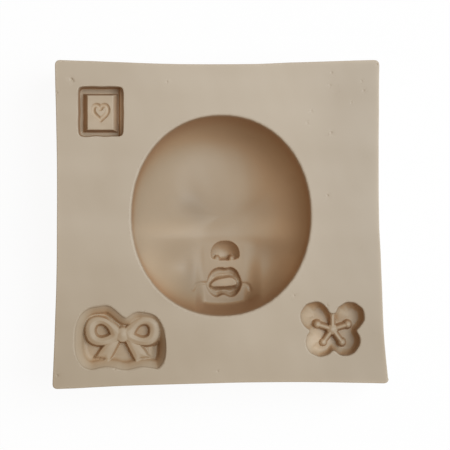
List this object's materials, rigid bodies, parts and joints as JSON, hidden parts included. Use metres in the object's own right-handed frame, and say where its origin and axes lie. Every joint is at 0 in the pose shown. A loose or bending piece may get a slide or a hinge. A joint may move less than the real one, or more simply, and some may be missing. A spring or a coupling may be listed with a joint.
{
  "type": "silicone mold",
  "caption": "Square silicone slab with bowed sides whose top holds a doll's face hollow and tile, cloud and flower charm hollows for casting.",
  "frame": {"origin": "middle of the slab's flat back, which it lies on", "axes": "+Z out of the open hollows, +Y towards the doll's forehead, +X to the right when looking down into the hollows"},
  "size_m": [0.101, 0.0988, 0.0279],
  "materials": {
    "silicone": "satin"
  },
  "bodies": {
    "root": {"mold_block": "silicone"}
  },
  "joints": []
}
